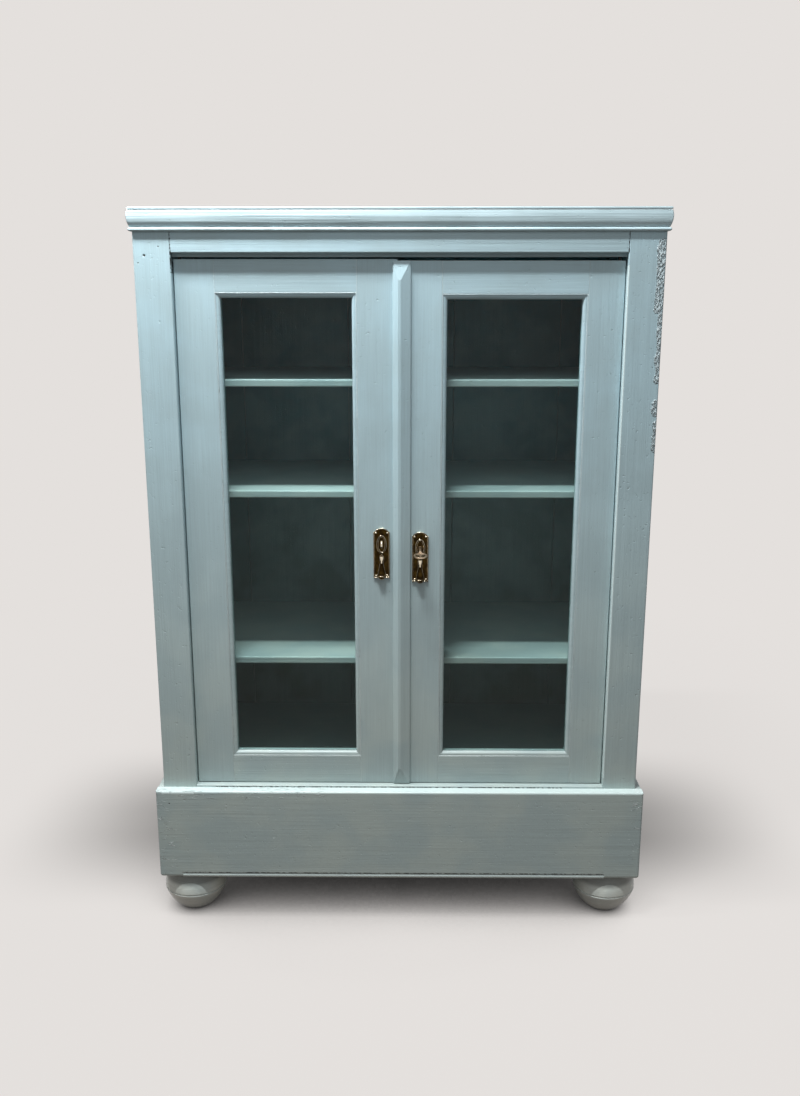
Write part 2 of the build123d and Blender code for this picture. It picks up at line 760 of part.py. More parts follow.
def hood_lip_ring(door):
    """A rolled lip round the finger pull's mouth."""
    z = door.keyhole_z - hood_below_keyhole - hood_length + hood_lip
    return Pos(door.keyhole_x, door_face - plate_thickness, z) * Torus(hood_radius - hood_lip / 2, hood_lip)


def hood_mouth(door):
    """The straight way out of the finger pull, through its lip."""
    z = door.keyhole_z - hood_below_keyhole - hood_length
    mouth = hood_radius - hood_wall
    y = door_face - plate_thickness
    return cylinder_between((door.keyhole_x, y, z - 2 * hood_lip), (door.keyhole_x, y, z + hood_lip), mouth)


def plate_pin_solids(door):
    """Round-headed brass pins that hold the key plate."""
    pins = []
    seat = door_face - plate_thickness
    for x, z in plate_pin_places(door):
        pin = cylinder_between((x, seat, z), (x, door_face + plate_pin_length, z), plate_pin_radius)
        head = Pos(x, seat, z) * Sphere(plate_pin_head_radius)
        reach = 2 * plate_pin_head_radius
        pins.append(pin + (head & block(x - reach, x + reach, seat - reach, seat, z - reach, z + reach)))
    return pins


# ================================================================ lock, keep and key
key_frame = Plane(
    origin=(right_door.keyhole_x, door_face, right_door.keyhole_z),
    x_dir=(1, 0, 0),
    z_dir=(0, -cos(radians(key_droop)), -sin(radians(key_droop))),
)
lock_x0 = right_door.meeting_edge + lock_edge_gap
lock_x1 = lock_x0 + lock_width
lock_cap = door_back + lock_depth
lock_floor = right_door.keyhole_z - lock_below
lock_roof = right_door.keyhole_z + lock_above
bolt_y = door_back + bolt_standoff
bolt_z = right_door.keyhole_z + bolt_above_keyhole
bolt_x0 = right_door.meeting_edge + bolt_tip_inset
stump_x = bolt_x0 + bolt_length - stump_slot_length / 2 - 2 * stump_radius
key_depth = lock_cap - door_face


def lock_case_solid():
    """The rim lock's folded case, open towards the door, with a bolt slot and a stump."""
    case = block(lock_x0, lock_x1, door_back, lock_cap, lock_floor, lock_roof)
    wall = lock_wall
    case -= block(lock_x0 + wall, lock_x1 - wall, door_back - 1, lock_cap - wall,
                  lock_floor + wall, lock_roof - wall)
    case -= block(lock_x0 - 1, lock_x0 + wall + 1, bolt_y - bolt_gap, bolt_y + bolt_thickness + bolt_gap,
                  bolt_z - bolt_gap, bolt_z + bolt_height + bolt_gap)
    middle = bolt_z + bolt_height / 2
    case += cylinder_between((stump_x, bolt_y, middle), (stump_x, lock_cap - wall, middle), stump_radius)
    bore = key_frame * Pos(0, 0, -key_depth) * Cylinder(key_radius + key_clearance, 4 * lock_wall)
    return case - bore


def lock_bolt_solid():
    """The bolt: a bar with a bevelled tip and a slot that runs on the case's stump."""
    bar = block(bolt_x0, bolt_x0 + bolt_length, bolt_y, bolt_y + bolt_thickness,
                bolt_z, bolt_z + bolt_height)
    bar = chamfer(bar.faces().sort_by(Axis.X)[0].edges(), 1.0)
    middle = bolt_z + bolt_height / 2
    slot = SlotOverall(stump_slot_length, 2 * (stump_radius + bolt_gap))
    slot_plane = Plane(origin=(stump_x, bolt_y - 1, middle), x_dir=(1, 0, 0), z_dir=(0, 1, 0))
    return bar - extrude(slot_plane * slot, bolt_thickness + 2)


def lock_keep_solid():
    """The box staple on the left door that the lock's bolt shoots into."""
    x1 = left_door.meeting_edge - keep_clearance
    x0 = x1 - keep_width
    margin = keep_clearance + keep_wall
    keep = block(x0, x1, door_back, door_back + keep_depth, bolt_z - margin, bolt_z + bolt_height + margin)
    keep -= block(x0 + keep_wall, x1 + 1, bolt_y - keep_clearance, bolt_y + bolt_thickness + keep_clearance,
                  bolt_z - keep_clearance, bolt_z + bolt_height + keep_clearance)
    return keep


def key_bow():
    """An oval ring with a bar across it, lying flat in the plane of the key's bit."""
    ring = Ellipse(key_bow_width / 2, key_bow_length / 2)
    hollow = Ellipse(key_bow_width / 2 - key_bow_rim, key_bow_length / 2 - key_bow_rim)
    hollow -= Rectangle(key_bow_bar, key_bow_length)
    flat = Plane.XZ * (ring - hollow)
    bow = extrude(flat, key_bow_thickness / 2, both=True)
    return Pos(0, 0, key_reach - key_bow_length / 2) * bow


def key_solid():
    """The key, turned a quarter in the lock so that its bow lies level."""
    shank_top = key_reach - key_bow_length + key_bow_rim / 2
    shank = cylinder_between((0, 0, -key_depth), (0, 0, shank_top), key_radius)
    collar_top = key_reach - key_bow_length
    shank += cylinder_between((0, 0, collar_top - key_collar_length), (0, 0, collar_top), key_collar_radius)
    ring_top = collar_top - key_collar_length - key_collar_gap
    shank += cylinder_between((0, 0, ring_top - key_collar_length / 2), (0, 0, ring_top),
                              (key_radius + key_collar_radius) / 2)
    bit_end = -key_depth + lock_wall + key_bit_from_case
    half = key_bit_thickness / 2
    bit = block(0, key_bit_reach, -half, half, bit_end, bit_end + key_bit_length)
    return key_frame * (shank + key_bow() + bit)


# ================================================================ surface bolts, left door
def slide_x():
    return left_door.meeting_edge - slide_from_meeting


def slide_mortise(end):
    """The mortise in the rail or the floor that a surface bolt shoots into."""
    gap = slide_mortise_clearance
    y0 = door_back + slide_plate + slide_gap
    z0, z1 = rail_bottom, rail_bottom + slide_mortise_depth
    if end == "lower":
        z0, z1 = floor_top - slide_mortise_depth, floor_top
    half = slide_bar_width / 2 + gap
    return block(slide_x() - half, slide_x() + half, y0 - gap, y0 + slide_bar_thickness + gap, z0, z1)


def slide_end(end):
    """The door's end, and the direction from it along the door."""
    if end == "upper":
        return left_door.top, -1
    return left_door.bottom, 1


def slide_plate_solid(end):
    """A surface bolt's plate with the two loops that guide its bar."""
    z, inwards = slide_end(end)
    z0 = z + inwards * slide_plate_margin
    z1 = z0 + inwards * slide_plate_height
    half = slide_plate_width / 2
    plate = block(slide_x() - half, slide_x() + half, door_back, door_back + slide_plate, z0, z1)
    y0 = door_back + slide_plate
    deep = slide_bar_thickness + 2 * slide_gap + slide_loop_wall
    loop_half = slide_bar_width / 2 + slide_gap + slide_loop_wall
    for start in (z0, z1 - inwards * slide_loop_height):
        plate += block(slide_x() - loop_half, slide_x() + loop_half, y0, y0 + deep,
                       start, start + inwards * slide_loop_height)
    hole_half = slide_bar_width / 2 + slide_gap
    return plate - block(slide_x() - hole_half, slide_x() + hole_half, y0,
                         y0 + slide_bar_thickness + 2 * slide_gap, z0, z1)


def slide_bar_solid(end):
    """A surface bolt's bar, drawn back, with its knob between the loops."""
    z, inwards = slide_end(end)
    tip = z + inwards * slide_bar_inset
    y0 = door_back + slide_plate + slide_gap
    half = slide_bar_width / 2
    bar = block(slide_x() - half, slide_x() + half, y0, y0 + slide_bar_thickness,
                tip, tip + inwards * slide_bar_length)
    knob_z = z + inwards * (slide_plate_margin + slide_plate_height / 2)
    y1 = y0 + slide_bar_thickness
    knob = cylinder_between((slide_x(), y1, knob_z), (slide_x(), y1 + slide_knob_length, knob_z),
                            slide_knob_radius)
    return bar + fillet(knob.faces().sort_by(Axis.Y)[-1].edges(), slide_knob_radius / 3)


# ================================================================ every node
def carcass_nodes():
    nodes = {
        "top_board": [top_board_solid()],
        "frieze": [frieze_solid()],
        "upper_rail": [upper_rail_solid()],
        "floor_board": [floor_solid()],
        "back_boards": back_board_solids(),
        "cornice_front": [cornice_run((half_body, face), (-1, 0, 0), body_width, 1, 1)],
        "cornice_left": [cornice_run((-half_body, face), (0, 1, 0), body_depth, 1, 0)],
        "cornice_right": [cornice_run((half_body, back), (0, -1, 0), body_depth, 0, 1)],
        "plinth_front": [plinth_front_solid()],
        "plinth_back": [block(-half_inside, half_inside, back - plinth_back_board, back,
                              plinth_bottom, floor_bottom)],
        "foot_blocks": foot_block_solids(),
        "upper_sockets": [door.socket("upper") for door in doors],
        "lower_sockets": [door.socket("lower") for door in doors],
    }
    for hand, side in (("left", -1), ("right", 1)):
        nodes[f"{hand}_side"] = [side_board_solid(side)]
        nodes[f"{hand}_front_stile"] = [front_stile_solid(side)]
        nodes[f"{hand}_shelf_battens"] = batten_solids(side)
        nodes[f"plinth_{hand}"] = [plinth_side_solid(side)]
    for name, height in shelf_heights.items():
        nodes[name] = [shelf_solid(height)]
    for name, x, y in foot_centres():
        nodes[name] = [foot_solid(x, y)]
    return nodes


def door_nodes(door):
    parts = {
        "hinge_stile": [door.hinge_stile()],
        "closing_stile": [door.closing_stile()],
        "top_rail": [door.rail(door.window_top, door.top)],
        "bottom_rail": [door.rail(door.bottom, door.window_bottom)],
        "glass": [door.glass()],
        "glazing_beads": glazing_beads(door),
        "back_beads": back_beads(door),
        "pivots": door.pivots(),
        "key_plate": [key_plate_solid(door)],
        "plate_pins": plate_pin_solids(door),
    }
    return {f"{door.name}_{part}": solids for part, solids in parts.items()}


def fitting_nodes():
    return {
        "meeting_strip": [meeting_strip_solid()],
        "lock_case": [lock_case_solid()],
        "lock_bolt": [lock_bolt_solid()],
        "lock_keep": [lock_keep_solid()],
        "key": [key_solid()],
        "upper_bolt_plate": [slide_plate_solid("upper")],
        "lower_bolt_plate": [slide_plate_solid("lower")],
        "upper_bolt": [slide_bar_solid("upper")],
        "lower_bolt": [slide_bar_solid("lower")],
    }


def write_nodes(nodes):
    """One STEP file for each node, which holds one solid or a group of separate ones."""
    os.makedirs("parts", exist_ok=True)
    for name, solids in nodes.items():
        shape = solids[0] if len(solids) == 1 else Compound(children=[Solid(s.solid().wrapped) for s in solids])
        shape.label = name
        export_step(shape, f"parts/{name}.step")


write_nodes(carcass_nodes())
for one_door in doors:
    write_nodes(door_nodes(one_door))
write_nodes(fitting_nodes())
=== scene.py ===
# %% [markdown]
# # A painted display cabinet with two glazed doors
#
# The real object is an old pine cabinet that somebody brushed pale blue: a carcass on a box
# plinth and four turned feet, two glazed doors, three shelves, brass key plates and a lock.
# The measured model of it comes first and stays where it is. This lesson gives each of its
# pieces the finish that the real one has, adds the small ironmongery and the marks of age, and
# sets up a plain studio round it.

# %% Load the measured model
import math

import bmesh
import bpy
from mathutils import Matrix, Vector


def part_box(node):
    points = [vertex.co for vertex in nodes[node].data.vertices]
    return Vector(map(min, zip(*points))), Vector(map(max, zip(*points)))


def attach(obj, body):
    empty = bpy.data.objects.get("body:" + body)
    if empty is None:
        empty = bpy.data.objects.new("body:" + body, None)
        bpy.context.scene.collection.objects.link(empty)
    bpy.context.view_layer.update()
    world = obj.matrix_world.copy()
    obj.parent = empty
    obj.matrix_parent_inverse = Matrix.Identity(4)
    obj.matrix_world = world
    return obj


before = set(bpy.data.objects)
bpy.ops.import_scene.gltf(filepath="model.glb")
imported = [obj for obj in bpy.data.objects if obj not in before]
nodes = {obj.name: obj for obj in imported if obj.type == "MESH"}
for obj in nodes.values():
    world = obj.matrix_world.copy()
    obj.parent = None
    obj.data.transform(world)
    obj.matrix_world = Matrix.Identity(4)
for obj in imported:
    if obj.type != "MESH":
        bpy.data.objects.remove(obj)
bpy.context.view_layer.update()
MM = 0.001

# %% [markdown]
# ## Two helpers for materials
#
# Each finish below is a small network of shader nodes. One function adds a node, sets its
# options and fills its sockets, either with a value or with a link from another node, so that a
# network reads as a list of steps. Colours are written as the hex values that a painter would
# mix, and one function turns them into the linear values that light is computed in.

# %% Colour and node helpers
def linear(hex_colour, alpha=1.0):
    """An sRGB hex colour as linear red, green, blue and alpha."""
    channels = [int(hex_colour[i:i + 2], 16) / 255 for i in (1, 3, 5)]
    return [c / 12.92 if c <= 0.04045 else ((c + 0.055) / 1.055) ** 2.4 for c in channels] + [alpha]


def add(tree, kind, sockets=None, **settings):
    """Adds a node. sockets maps an input's name or number to a value or to an output to link."""
    node = tree.nodes.new("ShaderNode" + kind)
    for name, value in settings.items():
        setattr(node, name, value)
    for name, value in (sockets or {}).items():
        if isinstance(value, bpy.types.NodeSocket):
            tree.links.new(value, node.inputs[name])
        else:
            node.inputs[name].default_value = value
    return node


def new_material(name):
    """An empty material, its node tree and its output node."""
    material = bpy.data.materials.new(name)
    material.use_nodes = True
    tree = material.node_tree
    tree.nodes.clear()
    return material, tree, add(tree, "OutputMaterial")


print("middle grey #808080 in linear light:", [round(c, 3) for c in linear("#808080")])

# %% [markdown]
# ## Steps that several finishes share
#
# Brush marks, wood grain and scratches all run one way, so their noise is stretched: short
# across the grain and long along it, with both sizes in millimetres. Noise read at the object's
# own coordinates stays on the piece when a door opens. Edges matter as much: nobody's painted
# edge is knife-sharp, and metal gets rubbed there first. The Bevel node rounds the shading of an
# edge without touching the mesh, and how far it turns the normal says where the edges are.

# %% Shared steps
def stretched(tree, grain, length, width):
    """Object coordinates scaled so that noise is length mm long along grain and width mm across."""
    place = add(tree, "TexCoord").outputs["Object"]
    scale = [1 / (width * MM)] * 3
    if grain in "xyz":
        scale["xyz".index(grain)] = 1 / (length * MM)
    else:
        scale[0] = scale[1] = 1 / (length * MM)
    return add(tree, "Mapping", {"Vector": place, "Scale": scale}).outputs["Vector"]


def noise(tree, grain, length, width, detail=3.0, seed=0.0):
    """Stretched noise around 0.5. seed moves to another part of the pattern."""
    vector = stretched(tree, grain, length, width)
    node = add(tree, "TexNoise", {"Vector": vector, "Scale": 1.0, "Detail": detail, "W": seed},
               noise_dimensions="4D")
    return node.outputs["Fac"]


def remap(tree, value, low, high, new_low=0.0, new_high=1.0):
    """Spreads low..high to new_low..new_high, smoothly and clamped."""
    return add(tree, "MapRange", {"Value": value, 1: low, 2: high, 3: new_low, 4: new_high},
               interpolation_type="SMOOTHSTEP").outputs["Result"]


def blend_colour(tree, factor, first, second, mode="MIX"):
    """Mixes two colours, each a linear colour or an output."""
    node = add(tree, "Mix", {0: factor, 6: first, 7: second}, data_type="RGBA", blend_type=mode)
    return node.outputs[2]


def maths(tree, operation, first, second=0.0):
    """One arithmetic step on two numbers, each a value or an output."""
    return add(tree, "Math", {0: first, 1: second}, operation=operation).outputs["Value"]


def height_above_floor(tree):
    """Height in metres, as the piece stands when nothing has moved."""
    place = add(tree, "TexCoord").outputs["Object"]
    return add(tree, "SeparateXYZ", {"Vector": place}).outputs["Z"]


def edges(tree, radius):
    """A rounded normal, and how near an edge each point is, from 0 to about 1."""
    soft = add(tree, "Bevel", {"Radius": radius * MM}, samples=6).outputs["Normal"]
    flat = add(tree, "NewGeometry").outputs["Normal"]
    match = add(tree, "VectorMath", {0: soft, 1: flat}, operation="DOT_PRODUCT").outputs["Value"]
    return soft, remap(tree, match, 1.0, 0.75)


def relief(tree, height, depth, normal):
    """Turns the normal by a height map whose full range is depth mm."""
    bump = add(tree, "Bump", {"Height": height, "Distance": depth * MM, "Normal": normal})
    return bump.outputs["Normal"]


def patch(tree, x, z, half_x, half_z, soft):
    """1 inside an upright rectangle on the front and 0 outside it, with edges soft mm wide."""
    place = add(tree, "TexCoord").outputs["Object"]
    split = add(tree, "SeparateXYZ", {"Vector": place})
    sides = []
    for output, middle, half in (("X", x, half_x), ("Z", z, half_z)):
        away = maths(tree, "ABSOLUTE", maths(tree, "SUBTRACT", split.outputs[output], middle * MM))
        sides.append(remap(tree, away, half * MM, (half + soft) * MM, 1.0, 0.0))
    return maths(tree, "MULTIPLY", *sides)


def strongest(tree, masks):
    """The greatest of several masks at each point."""
    total = masks[0]
    for mask in masks[1:]:
        total = maths(tree, "MAXIMUM", total, mask)
    return total


# %% [markdown]
# ## Bare old pine
#
# Nobody paints the back of a cabinet or the blocks inside its plinth. That wood has gone brown
# with a hundred years of air and dust. It is planed or sawn softwood: dark narrow late rings
# between broad pale early ones, 3 to 8 mm apart on a flat-sawn board, with fine fibre along them
# and stains where damp has stood. The layers come from one function of their own, because the
# painted boards of the back use them too.

# %% Bare old pine
early_wood = "#b3946b"
late_wood = "#7c5f41"
pale_fibre = "#b89a70"
damp_stain = "#675039"


def pine(tree, grain, seed, normal):
    """The colour and the surface of old bare pine."""
    rings = noise(tree, grain, 600.0, 11.0, 3.0, seed)
    fibre = noise(tree, grain, 60.0, 0.9, 3.0, seed + 2)
    stain = noise(tree, "all", 160.0, 160.0, 4.0, seed + 4)
    late = remap(tree, rings, 0.40, 0.62)
    colour = blend_colour(tree, late, linear(early_wood), linear(late_wood))
    fibrous = remap(tree, fibre, 0.35, 0.75, 0.0, 0.45)
    colour = blend_colour(tree, fibrous, colour, linear(pale_fibre))
    stained = remap(tree, stain, 0.35, 0.70, 0.0, 0.55)
    colour = blend_colour(tree, stained, colour, linear(damp_stain))
    return colour, relief(tree, fibre, 0.25, relief(tree, rings, 0.4, normal))


def bare_pine(name, grain, seed):
    material, tree, out = new_material(name)
    colour, normal = pine(tree, grain, seed, edges(tree, 1.2)[0])
    shader = add(tree, "BsdfPrincipled", {"Base Color": colour, "Roughness": 0.70, "IOR": 1.5,
                                          "Normal": normal})
    tree.links.new(shader.outputs[0], out.inputs["Surface"])
    return material


bare = {grain: bare_pine(f"bare_old_pine_{grain}", grain, seed)
        for grain, seed in (("x", 20.0), ("z", 24.0))}
print("bare wood:", sorted(bare))

# %% [markdown]
# ## Brushed paint on old pine
#
# The paint is a matt water-based one, put on by hand with a wide brush over old coats. Pine under
# paint still shows its rings as long shallow waves, the bristles leave finer lines along each
# board, and each brushful dries a little thicker or thinner. The colour hardly changes: most
# of what the eye reads as "brushed" is relief that catches light from above. So the network has
# noises of several widths: rings, bristles and small pits make the relief, and bristles and
# brushfuls also change the colour a little. Two slower changes lie over them. Towards the floor
# the paint turns greyer, warmer and a little darker: partly dirt where feet and mops reach it,
# and partly painted light, bluer at the top for the cool light from above and warmer below for
# the light that the floor sends up. And every arris is pale: partly paint that collects there in
# a heavy layer, and partly a painted highlight where light catches the rounded edge. Paint
# binder has an IOR near 1.5, and a roughness of about 0.4 gives the soft sheen of paint that has
# been handled.

# %% Colours and sizes of the paint
paint_high_cool_light = "#aac6cf"         # near the top of the cabinet: bluer, partly painted light for the cool light from above
paint_low_dirt_and_warm_light = "#b6c5c1"          # near the floor: greyer and warmer, partly dirt and partly painted light from the floor
paint_thin = "#9fb5ba"         # where a brushful ran out
pale_paint_and_highlight = "#e9f3f4"     # on the arrises and the crust's lumps: pale paint, and a painted highlight
pale_stroke_and_highlight = "#dcedec"        # pale strokes: a few of heavy paint, most of them painted highlights
old_coat = "#6f7468"
# painted shade in the hollows of the crust on the right stile
crevice_shade = "#47545a"
# dirt in opened joints and holes, and painted shade in the quirk above the plinth's bead
dirt_and_quirk_shade = "#2b2d2b"
dust_grey = "#6e7371"
nail_rust = "#1f1a17"
bristle_width = 1.6            # mm, as are the sizes below
bristle_length = 120.0
ring_width = 9.0
ring_length = 420.0
brushful = 110.0
pit_size = 5.0
nick_length = 13.0
nick_width = 2.4
lit_band_fade = 10.0
nail_steps = (("X", 88.0), ("Z", 251.0))
nail_radius = (1.6, 2.4)       # of its sharp middle and its soft edge
paint_rough = 0.40


print("bristle marks:", bristle_width, "mm wide; rings:", ring_width, "mm wide")

# %% [markdown]
# ## Marks that only some boards carry
#
# Wear isn't spread evenly: it sits where nails, scrapers, brooms and dusters have been. It could
# be hidden in one more noise, but a mark in a known place is easier to read and to move. So each
# kind of mark is a short function with its places in millimetres, and it lays its colour and its
# relief over what is there already.

# %% Crusts and scuffs
def scraped_crusts(tree, places, seed, colour, normal):
    """Old paint taken off badly before the last coat, which lies over a ragged crust of lumps."""
    zone = strongest(tree, [patch(tree, *place, 17.0) for place in places])
    ragged = noise(tree, "z", 22.0, 9.0, 4.0, seed + 12)
    ragged = remap(tree, maths(tree, "ADD", zone, ragged), 1.0, 1.1)
    lumps = remap(tree, noise(tree, "z", 7.0, 2.6, 5.0, seed + 13), 0.32, 0.64)
    # The lumps run from painted shade in their hollows to a painted highlight on their tops.
    lumps_lit_and_shaded = blend_colour(tree, lumps, linear(crevice_shade), linear(pale_paint_and_highlight))
    colour = blend_colour(tree, maths(tree, "MULTIPLY", ragged, 0.42), colour, lumps_lit_and_shaded)
    return colour, relief(tree, maths(tree, "MULTIPLY", lumps, ragged), 3.0, normal)


def short_nicks(tree, places, grain, seed, colour, normal):
    """Short pale nicks along the grain, where brooms and shoes have knocked the paint."""
    zone = strongest(tree, [patch(tree, *place, 12.0) for place in places])
    nicks = remap(tree, noise(tree, grain, nick_length, nick_width, 2.0, seed + 15), 0.60, 0.66)
    nicks = maths(tree, "MULTIPLY", nicks, zone)
    faint = maths(tree, "MULTIPLY", nicks, 0.45)
    colour = blend_colour(tree, faint, colour, linear(pale_paint_and_highlight))
    return colour, relief(tree, nicks, 1.2, normal)


print("nicks:", nick_length, "mm long and", nick_width, "mm wide")

# %% Holes, cracks, and pale strokes that are mostly painted highlights
def holes_and_cracks(tree, holes, cracks, seed, colour, normal):
    """Nail holes, dark broken lines of opened joints, and painted shade in a bead's quirk."""
    dark = [patch(tree, x, z, radius * 0.5, radius * 0.5, radius) for x, z, radius in holes]
    for place in cracks:
        broken = remap(tree, noise(tree, "all", 4.5, 4.5, 3.0, seed + 17), 0.46, 0.53)
        dark.append(maths(tree, "MULTIPLY", patch(tree, *place, 0.5), broken))
    dark = strongest(tree, dark)
    colour = blend_colour(tree, dark, colour, linear(dirt_and_quirk_shade))
    return colour, relief(tree, maths(tree, "SUBTRACT", 1.0, dark), 0.8, normal)


def pale_strokes_and_highlights(tree, places, colour):
    """Pale strokes: a few of heavy paint, most of them painted highlights on a bead or an arris."""
    for place in places:
        stroke = maths(tree, "MULTIPLY", patch(tree, *place, 1.2), 0.6)
        colour = blend_colour(tree, stroke, colour, linear(pale_stroke_and_highlight))
    return colour


print("dirt in the cracks:", dirt_and_quirk_shade)

# %% Dust above and bare wood behind
def facing(tree, axis, low, high):
    """1 where the surface faces along X, Y or Z, and 0 where it turns away."""
    split = add(tree, "SeparateXYZ", {"Vector": add(tree, "TexCoord").outputs["Normal"]})
    return remap(tree, split.outputs[axis], low, high)


def dust_on_top(tree, coats, colour):
    """Grey dust on the side that faces up, where nobody wipes."""
    uneven = remap(tree, coats, 0.30, 0.60, 0.60, 0.85)
    dust = maths(tree, "MULTIPLY", facing(tree, "Z", 0.80, 0.95), uneven)
    return blend_colour(tree, dust, colour, linear(dust_grey))


def bare_rear(tree, grain, seed, colour, normal):
    """Bare wood on the side that faces the wall, with nails in rows across it."""
    wood = pine(tree, grain, seed + 20, normal)[0]
    place = add(tree, "SeparateXYZ", {"Vector": add(tree, "TexCoord").outputs["Object"]})
    sharp, soft = [radius * MM for radius in nail_radius]
    rows = []
    for axis, step in nail_steps:
        along = maths(tree, "WRAP", place.outputs[axis], step * MM)
        off = maths(tree, "ABSOLUTE", maths(tree, "SUBTRACT", along, step * MM / 2))
        rows.append(remap(tree, off, sharp, soft, 1.0, 0.0))
    wood = blend_colour(tree, maths(tree, "MULTIPLY", *rows), wood, linear(nail_rust))
    return blend_colour(tree, facing(tree, "Y", 0.4, 0.6), colour, wood)


print("nails in the back every", [step for _, step in nail_steps], "mm")

# %% [markdown]
# ## The coat of paint
#
# The coat is built in the order in which it came about: the colour with its brushfuls, the tone
# of the bristles, a little darker towards the floor and with painted shade on the feet, the pale
# arrises, the spots where the old coat shows, and the marks last.
# The relief grows beside it, from the broad rings to the small pits.

# %% Brushed paint
def tone_and_painted_shade(tree, up, bristles, lit_band):
    """How bright the paint is: bristle marks, darker towards the floor, and painted shade by a lit
    band.
    """
    shade = maths(tree, "MULTIPLY", remap(tree, bristles, 0.3, 0.7, 0.95, 1.04),
                  remap(tree, up, 0.20, 0.55, 0.93, 1.0))
    if lit_band:
        low_edge, high_edge, fade = [size * MM for size in (*lit_band, lit_band_fade)]
        below = remap(tree, up, low_edge - fade, low_edge, 0.70, 1.0)
        above = remap(tree, up, high_edge, high_edge + fade, 1.0, 0.38)
        shade = maths(tree, "MULTIPLY", maths(tree, "MULTIPLY", shade, below), above)
    return add(tree, "CombineColor", {0: shade, 1: shade, 2: shade}).outputs["Color"]


def brushed_paint(name, grain, seed, high=paint_high_cool_light, low=paint_low_dirt_and_warm_light, rough=paint_rough, dents=0.35,
                  rings_deep=0.45, holes=(), cracks=(), crusts=(), scuffs=(), highlight_strokes=(),
                  lit_band=None, dusty=False, bare_behind=False):
    """Paint brushed along grain: "x", "y", "z", or "turned" for work done on a lathe.

    holes are (x, z, radius) in mm, and the other marks are (x, z, half width, half height).
    lit_band is (low, high) in mm: painted light between them, painted shade below and above.
    """
    material, tree, out = new_material(name)
    bristles = noise(tree, grain, bristle_length, bristle_width, 4.0, seed)
    rings = noise(tree, grain, ring_length, ring_width, 2.0, seed + 3)
    coats = noise(tree, "all", brushful, brushful, 3.0, seed + 7)
    pits = noise(tree, "all", pit_size, pit_size, 2.0, seed + 11)
    normal, edge = edges(tree, 1.6)
    up = height_above_floor(tree)

    # The colour turns from the low one to the high one going up: partly dirt near the floor, and
    # partly painted light, cool from above and warm from the floor.
    colour = blend_colour(tree, remap(tree, up, 0.15, 1.15), linear(low), linear(high))
    thin = remap(tree, coats, 0.62, 0.38, 0.0, 0.45)
    colour = blend_colour(tree, thin, colour, linear(paint_thin))
    colour = blend_colour(tree, 1.0, colour, tone_and_painted_shade(tree, up, bristles, lit_band), "MULTIPLY")
    # Pale arrises: paint collected there, and a painted highlight where light catches the rounded
    # edge.
    arris_pale_and_highlight = maths(tree, "MULTIPLY", edge, remap(tree, coats, 0.40, 0.60, 0.45, 0.85))
    colour = blend_colour(tree, arris_pale_and_highlight, colour, linear(pale_paint_and_highlight))

    flaking = remap(tree, noise(tree, "all", 14.0, 14.0, 4.0, seed + 5), 0.62, 0.68)
    flaked = maths(tree, "MULTIPLY", maths(tree, "MULTIPLY", edge, flaking), 0.6)
    chipped = maths(tree, "MULTIPLY", remap(tree, pits, 0.740, 0.765), 0.45)
    colour = blend_colour(tree, strongest(tree, [chipped, flaked]), colour, linear(old_coat))

    normal = relief(tree, rings, rings_deep, normal)
    normal = relief(tree, bristles, 0.22, normal)
    normal = relief(tree, remap(tree, pits, 0.62, 0.76, 1.0, 0.0), dents, normal)
    if crusts:
        colour, normal = scraped_crusts(tree, crusts, seed, colour, normal)
    if scuffs:
        colour, normal = short_nicks(tree, scuffs, grain, seed, colour, normal)
    colour = pale_strokes_and_highlights(tree, highlight_strokes, colour)
    if holes or cracks:
        colour, normal = holes_and_cracks(tree, holes, cracks, seed, colour, normal)
    if dusty:
        colour = dust_on_top(tree, coats, colour)
    if bare_behind:
        colour = bare_rear(tree, grain, seed, colour, normal)

    shader = add(tree, "BsdfPrincipled", {
        "Base Color": colour, "IOR": 1.5, "Normal": normal,
        "Roughness": remap(tree, bristles, 0.2, 0.8, rough - 0.06, rough + 0.08)})
    tree.links.new(shader.outputs[0], out.inputs["Surface"])
    return material


print("the paint's roughness:", paint_rough, "and a little more or less along the bristles")

# %% One paint for each way the brush ran
lit_top_blue = "#b8d0d7"         # the top and its mouldings: lighter than the rest, painted light for the strong light from above
paints = {grain: brushed_paint(f"brushed_paint_{grain}", grain, seed)
          for grain, seed in (("x", 1.0), ("y", 2.0), ("z", 5.0), ("all", 9.0))}
# The feet are pale, and darker above and below the band from 46 to 62 mm: painted light where the
# light reaches under the plinth, and painted shade around it.
paints["turned"] = brushed_paint("brushed_paint_feet", "turned", 8.0, low="#e6eee6", rough=0.22,
                                 rings_deep=0.2, lit_band=(46.0, 62.0))
paints["shelf"] = brushed_paint("brushed_paint_shelves", "x", 13.0, high="#c4d1d2", low="#bfc7c1")
for grain, seed in (("x", 14.0), ("y", 15.0)):
    paints[f"moulding_{grain}"] = brushed_paint(f"brushed_paint_cornice_{grain}", grain, seed,
                                                high=lit_top_blue, rings_deep=1.5)
print("paints:", sorted(paints))
